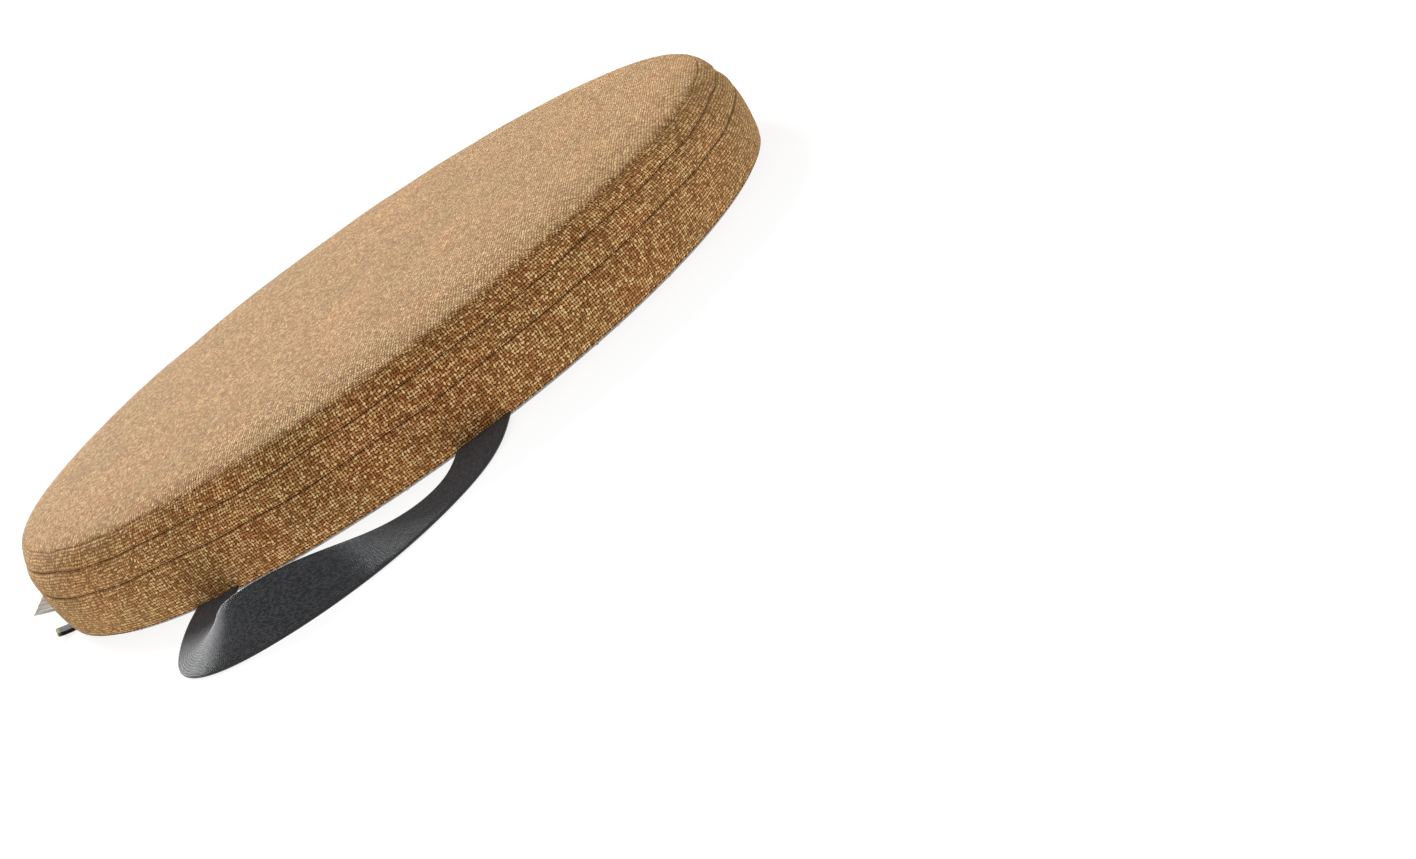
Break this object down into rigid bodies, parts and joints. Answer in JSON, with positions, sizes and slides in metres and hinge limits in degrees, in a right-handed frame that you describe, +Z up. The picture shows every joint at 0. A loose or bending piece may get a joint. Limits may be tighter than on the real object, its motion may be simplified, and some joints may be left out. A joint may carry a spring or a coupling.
{
  "type": "chair seat pad",
  "caption": "Round boxed foam seat pad in a linen-look cover with a zip under a lap, an anti-slip base, a webbing carrying strap and a folded label",
  "frame": {"origin": "centre of the bottom face, on the surface that the pad lies on", "axes": "+Z is up through the thickness of the pad; the carrying strap lies towards -Y"},
  "size_m": [0.4035, 0.4822, 0.051],
  "materials": {
    "linen_weave": "coarse linen-look weave, tan and dark brown yarns",
    "grip_cloth": "pale knit with rubber dots",
    "foam": "open-cell upholstery foam",
    "webbing": "ribbed charcoal webbing",
    "zip_tape": "brown woven tape",
    "zip_nylon": "nylon coil",
    "zip_metal": "die-cast slider",
    "thread": "dark brown sewing thread",
    "black_thread": "black sewing thread",
    "label_satin": "white satin tape",
    "tab_cloth": "black tape with an olive edge"
  },
  "bodies": {
    "pad": {"foam_core": "foam", "top_panel": "linen_weave", "upper_band": "linen_weave", "side_band_front": "linen_weave", "side_band_back": "linen_weave", "bottom_panel": "grip_cloth", "zip_lap": "linen_weave", "zip_end_tabs": "linen_weave", "zip_tape_upper": "zip_tape", "zip_tape_lower": "zip_tape", "zip_coil_upper": "zip_nylon", "zip_coil_lower": "zip_nylon", "zip_top_stops": "zip_metal", "zip_bottom_stop": "zip_metal", "top_seam_thread": "thread", "band_seam_thread": "thread", "lap_stitching": "thread", "bottom_seam_thread": "thread", "strap_tails": "webbing", "strap_bartacks": "black_thread", "edge_tab": "tab_cloth"},
    "slider": {"zip_slider": "zip_metal"},
    "pull": {"zip_pull": "zip_metal"},
    "strap": {"carry_strap": "webbing"},
    "label": {"care_label": "label_satin"}
  },
  "joints": [
    {"name": "zip_slide", "type": "hinge", "parent": "pad", "child": "slider", "pos_m": [0, 0, 0.0315], "axis": [0, 0, 1], "range_deg": [-184, 0], "deforming": ["zip_lap"]},
    {"name": "pull_flip", "type": "hinge", "parent": "slider", "child": "pull", "pos_m": [0.19336, 0.02765, 0.0315], "axis": [0, 0, -1], "range_deg": [0, 120]},
    {"name": "strap_swing", "type": "hinge", "parent": "pad", "child": "strap", "pos_m": [0, -0.19343, 0.0023], "axis": [-1, 0, 0], "range_deg": [-90, 70]},
    {"name": "label_flap", "type": "hinge", "parent": "pad", "child": "label", "pos_m": [-0.19353, -0.04113, 0.0012], "axis": [-0.2079, 0.9781, 0], "range_deg": [-58, 12]}
  ]
}
